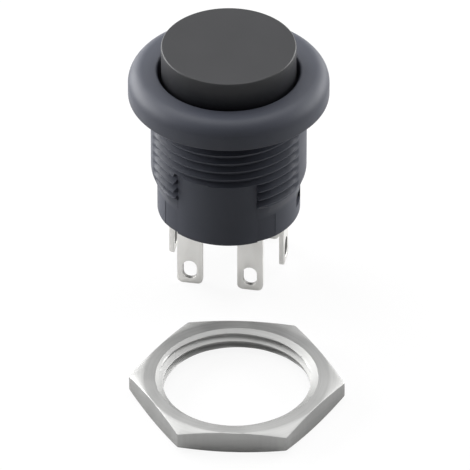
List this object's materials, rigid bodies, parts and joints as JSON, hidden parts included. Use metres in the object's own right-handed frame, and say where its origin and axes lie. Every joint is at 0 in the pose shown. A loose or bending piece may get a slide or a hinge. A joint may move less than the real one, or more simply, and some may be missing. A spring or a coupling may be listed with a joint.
{
  "type": "latching push button switch",
  "caption": "Round latching push button switch with a threaded bushing, solder lugs underneath and a loose hexagon panel nut, switching one circuit pair over when pressed.",
  "frame": {"origin": "centre of the bezel's underside on the button's axis, where the panel's front face sits", "axes": "+Z out of the panel along the button, -Y towards the front pair of lugs, +X to the right; the nut lies in front, level with the lug tips"},
  "size_m": [0.0264, 0.0433, 0.0268],
  "materials": {
    "housing_plastic": "finely textured black glass-filled nylon",
    "cap_plastic": "smooth satin black ABS",
    "base_plastic": "plain black moulding",
    "plunger_acetal": "natural acetal",
    "nickel_plated_brass": "satin nickel plate on turned brass",
    "tinned_brass": "bright tin plate on stamped brass",
    "contact_bronze": "rolled phosphor bronze",
    "contact_silver": "silver contact face",
    "spring_steel": "drawn steel wire",
    "wire_steel": "stainless spring steel"
  },
  "bodies": {
    "switch_body": {"housing": "housing_plastic", "terminal_base": "base_plastic", "latch_leaf": "wire_steel", "return_spring": "spring_steel", "hex_nut": "nickel_plated_brass", "terminal_side_left": "tinned_brass", "terminal_front_left": "tinned_brass", "fixed_contact_front_left": "contact_silver", "terminal_rear_left": "tinned_brass", "fixed_contact_rear_left": "contact_silver", "terminal_side_right": "tinned_brass", "terminal_front_right": "tinned_brass", "fixed_contact_front_right": "contact_silver", "terminal_rear_right": "tinned_brass", "fixed_contact_rear_right": "contact_silver"},
    "button": {"button_cap": "cap_plastic", "plunger": "plunger_acetal"},
    "rocker_left": {"rocker_left": "contact_bronze", "rocker_contact_front_left": "contact_silver", "rocker_contact_rear_left": "contact_silver"},
    "rocker_right": {"rocker_right": "contact_bronze", "rocker_contact_front_right": "contact_silver", "rocker_contact_rear_right": "contact_silver"},
    "latch_wire": {"latch_pin": "wire_steel"}
  },
  "joints": [
    {"name": "button_press", "type": "slide", "parent": "switch_body", "child": "button", "axis": [0, 0, -1], "range_m": [0, 0.0022], "stiffness_N_per_m": 500, "springref_m": -0.0015, "deforming": ["return_spring"]},
    {"name": "rocker_left_tilt", "type": "hinge", "parent": "switch_body", "child": "rocker_left", "pos_m": [-0.00345, 0, -0.00932], "axis": [-1, 0, 0], "range_deg": [0, 12.01]},
    {"name": "rocker_right_tilt", "type": "hinge", "parent": "switch_body", "child": "rocker_right", "pos_m": [0.00345, 0, -0.00932], "axis": [-1, 0, 0], "range_deg": [0, 12.01]},
    {"name": "latch_pin_swing", "type": "hinge", "parent": "switch_body", "child": "latch_wire", "pos_m": [0, 0.0033, -0.0118], "axis": [0, 1, 0], "range_deg": [0, 12.01]}
  ],
  "couplings": [
    {"joint": "rocker_left_tilt", "follows": "button_press", "rad_per_m": 95.2},
    {"joint": "rocker_right_tilt", "follows": "button_press", "rad_per_m": 95.2},
    {"joint": "latch_pin_swing", "follows": "button_press", "rad_per_m": 95.2}
  ]
}
